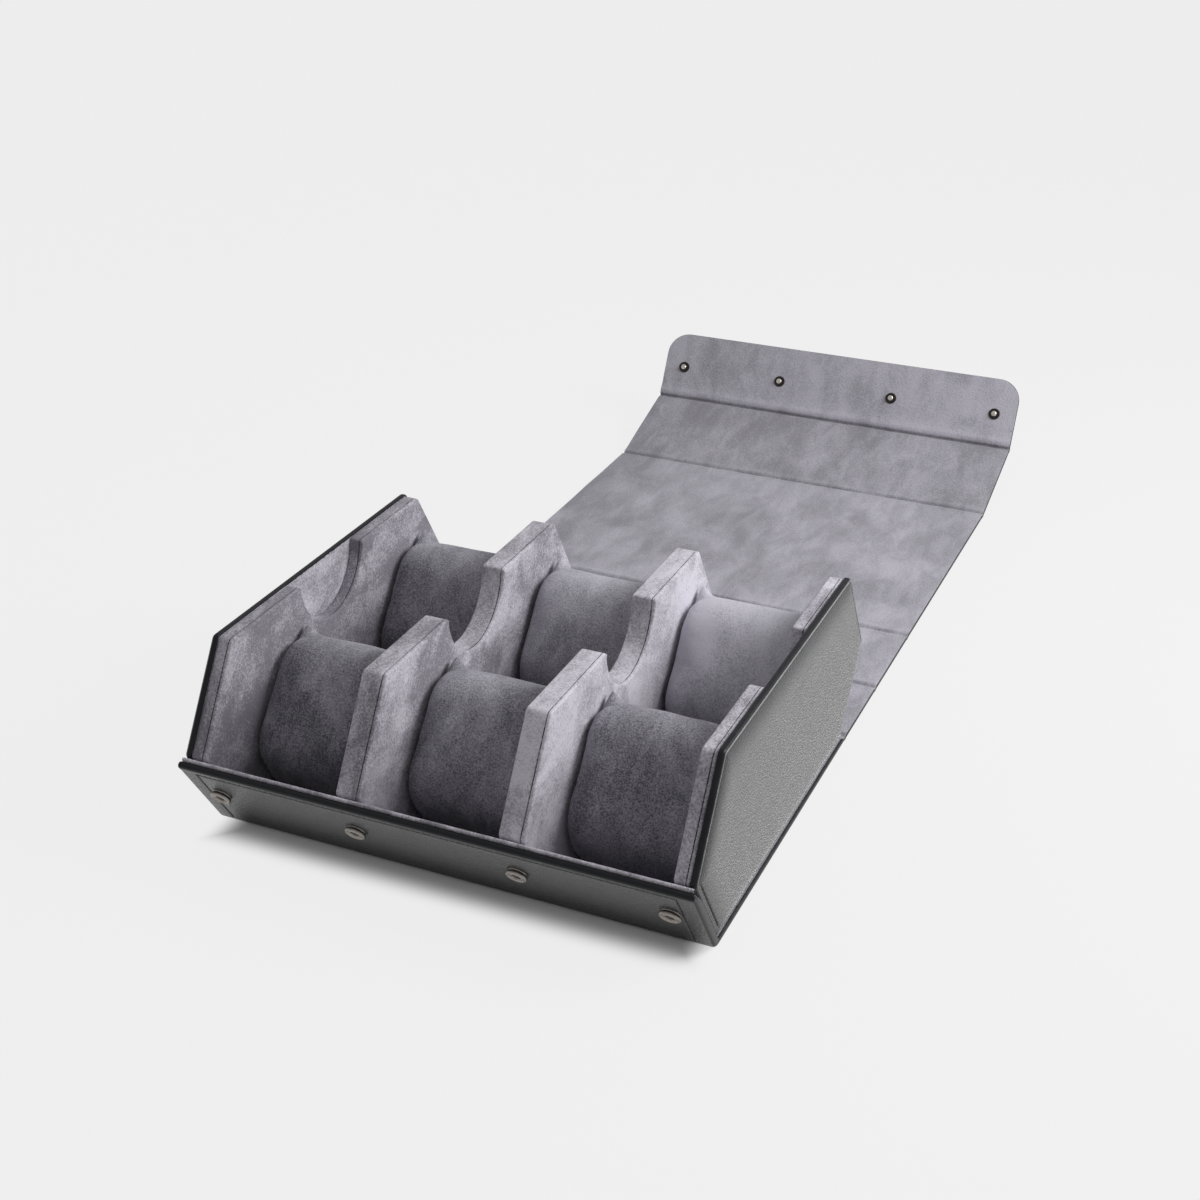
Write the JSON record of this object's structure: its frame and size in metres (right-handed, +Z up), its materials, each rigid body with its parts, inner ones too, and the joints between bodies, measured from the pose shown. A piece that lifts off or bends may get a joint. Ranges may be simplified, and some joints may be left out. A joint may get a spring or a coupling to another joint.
{
  "type": "watch travel case",
  "caption": "Open hexagonal leather travel case with suede dividers, lift-out watch cushions and a folding wrap lid whose flap snaps to the front lip.",
  "frame": {"origin": "middle of the tray floor's underside, on the surface that the case stands on", "axes": "+X to the right along the folds, +Y to the back where the open lid lies, +Z up"},
  "size_m": [0.235, 0.5684, 0.09],
  "materials": {
    "leather": "fine grained black leather, soft sheen",
    "suede": "grey mauve suede lining with a brushed nap",
    "cushion_suede": "darker grey suede, soft nap",
    "board": "plain fibre board, covered on all faces",
    "nickel": "warm nickel, slightly darkened"
  },
  "bodies": {
    "tray": {"tray_leather": "leather", "floor_board": "board", "floor_lining": "suede", "lip_board": "board", "lip_lining": "suede", "left_end_leather": "leather", "left_end_board": "board", "left_end_lining": "suede", "right_end_leather": "leather", "right_end_board": "board", "right_end_lining": "suede", "left_end_divider_cover": "suede", "left_end_divider_core": "board", "left_divider_cover": "suede", "left_divider_core": "board", "right_divider_cover": "suede", "right_divider_core": "board", "right_end_divider_cover": "suede", "right_end_divider_core": "board", "snap_sockets": "nickel", "socket_rivets": "nickel"},
    "back_lower_panel": {"back_lower_leather": "leather", "back_lower_board": "board", "back_lower_lining": "suede"},
    "back_upper_panel": {"back_upper_leather": "leather", "back_upper_board": "board", "back_upper_lining": "suede"},
    "top_panel": {"top_leather": "leather", "top_board": "board", "top_lining": "suede"},
    "front_upper_panel": {"front_upper_leather": "leather", "front_upper_board": "board", "front_upper_lining": "suede"},
    "snap_flap": {"flap_leather": "leather", "flap_board": "board", "flap_lining": "suede", "snap_studs": "nickel", "snap_caps": "nickel"},
    "cushion_front_left_body": {"cushion_front_left": "cushion_suede"},
    "cushion_front_middle_body": {"cushion_front_middle": "cushion_suede"},
    "cushion_front_right_body": {"cushion_front_right": "cushion_suede"},
    "cushion_back_left_body": {"cushion_back_left": "cushion_suede"},
    "cushion_back_middle_body": {"cushion_back_middle": "cushion_suede"},
    "cushion_back_right_body": {"cushion_back_right": "cushion_suede"}
  },
  "joints": [
    {"name": "back_foot_fold", "type": "hinge", "parent": "tray", "child": "back_lower_panel", "pos_m": [0, 0.08851, 0.0012], "axis": [1, 0, 0], "range_deg": [0, 57.19]},
    {"name": "back_waist_fold", "type": "hinge", "parent": "back_lower_panel", "child": "back_upper_panel", "pos_m": [0, 0.13995, 0.0012], "axis": [1, 0, 0], "range_deg": [0, 64.42]},
    {"name": "back_top_fold", "type": "hinge", "parent": "back_upper_panel", "child": "top_panel", "pos_m": [0, 0.19979, 0.0012], "axis": [1, 0, 0], "range_deg": [0, 58.39]},
    {"name": "front_top_fold", "type": "hinge", "parent": "top_panel", "child": "front_upper_panel", "pos_m": [0, 0.36983, 0.0012], "axis": [1, 0, 0], "range_deg": [-16.6, 41.79]},
    {"name": "front_waist_fold", "type": "hinge", "parent": "front_upper_panel", "child": "snap_flap", "pos_m": [0, 0.43246, 0.01987], "axis": [1, 0, 0], "range_deg": [-45.3, 19.12]},
    {"name": "cushion_front_left_lift", "type": "slide", "parent": "tray", "child": "cushion_front_left_body", "axis": [0, 0, -1], "range_m": [-0.08, 0]},
    {"name": "cushion_front_middle_lift", "type": "slide", "parent": "tray", "child": "cushion_front_middle_body", "axis": [0, 0, -1], "range_m": [-0.08, 0]},
    {"name": "cushion_front_right_lift", "type": "slide", "parent": "tray", "child": "cushion_front_right_body", "axis": [0, 0, -1], "range_m": [-0.08, 0]},
    {"name": "cushion_back_left_lift", "type": "slide", "parent": "tray", "child": "cushion_back_left_body", "axis": [0, 0, -1], "range_m": [-0.08, 0]},
    {"name": "cushion_back_middle_lift", "type": "slide", "parent": "tray", "child": "cushion_back_middle_body", "axis": [0, 0, -1], "range_m": [-0.08, 0]},
    {"name": "cushion_back_right_lift", "type": "slide", "parent": "tray", "child": "cushion_back_right_body", "axis": [0, 0, -1], "range_m": [-0.08, 0]}
  ]
}
